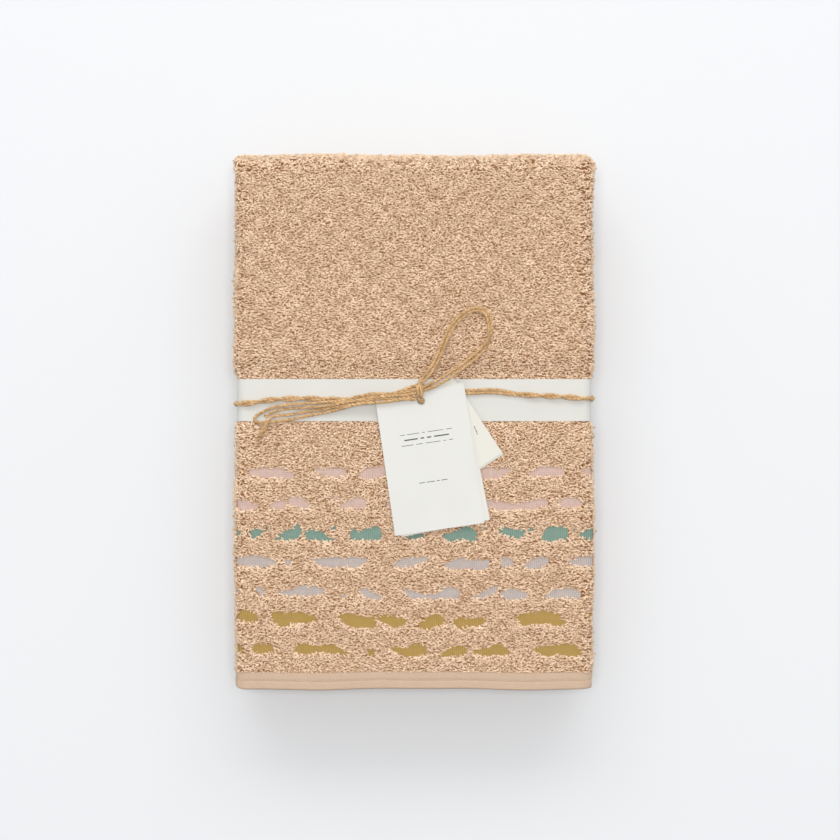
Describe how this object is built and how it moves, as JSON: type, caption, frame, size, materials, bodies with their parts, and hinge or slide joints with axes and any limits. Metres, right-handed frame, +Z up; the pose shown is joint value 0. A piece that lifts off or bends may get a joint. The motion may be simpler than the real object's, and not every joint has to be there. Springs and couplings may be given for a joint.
{
  "type": "folded bath towel set",
  "caption": "Folded terry bath towel and hand towel stacked, held by a paper belly band and jute twine tied in a bow, with hang tags that swivel on the twine.",
  "frame": {"origin": "on the ground, under the middle of the folded stack", "axes": "+Z up, +Y along the folded towels away from the hem end, +X across them, to the right seen from the hem end"},
  "size_m": [0.2536, 0.376, 0.0743],
  "materials": {
    "terry": "looped cotton terry, matte",
    "band_paper": "uncoated white paper, matte",
    "tag_board": "uncoated warm white card, matte",
    "jute": "natural jute twine, fibrous matte"
  },
  "bodies": {
    "stack": {"bath_towel": "terry", "hand_towel": "terry", "belly_band": "band_paper", "twine_wrap_back": "jute", "twine_wrap_front": "jute", "twine_knot": "jute", "bow_loop_outer": "jute", "bow_loop_inner": "jute", "left_loop": "jute", "upper_end": "jute", "lower_end": "jute", "tag_loop": "jute"},
    "front_card": {"front_card": "tag_board"},
    "second_card": {"second_card": "tag_board"},
    "leaflet": {"leaflet": "tag_board"}
  },
  "joints": [
    {"name": "front_card_swivel", "type": "hinge", "parent": "stack", "child": "front_card", "pos_m": [0.0049, 0.0142, 0.068], "axis": [0, 0, 1], "range_deg": [-30, 25]},
    {"name": "second_card_swivel", "type": "hinge", "parent": "stack", "child": "second_card", "pos_m": [0.0049, 0.0142, 0.067], "axis": [0, 0, 1], "range_deg": [-35, 20]},
    {"name": "leaflet_swivel", "type": "hinge", "parent": "stack", "child": "leaflet", "pos_m": [0.0049, 0.0142, 0.066], "axis": [0, 0, 1], "range_deg": [-60, 22]}
  ]
}
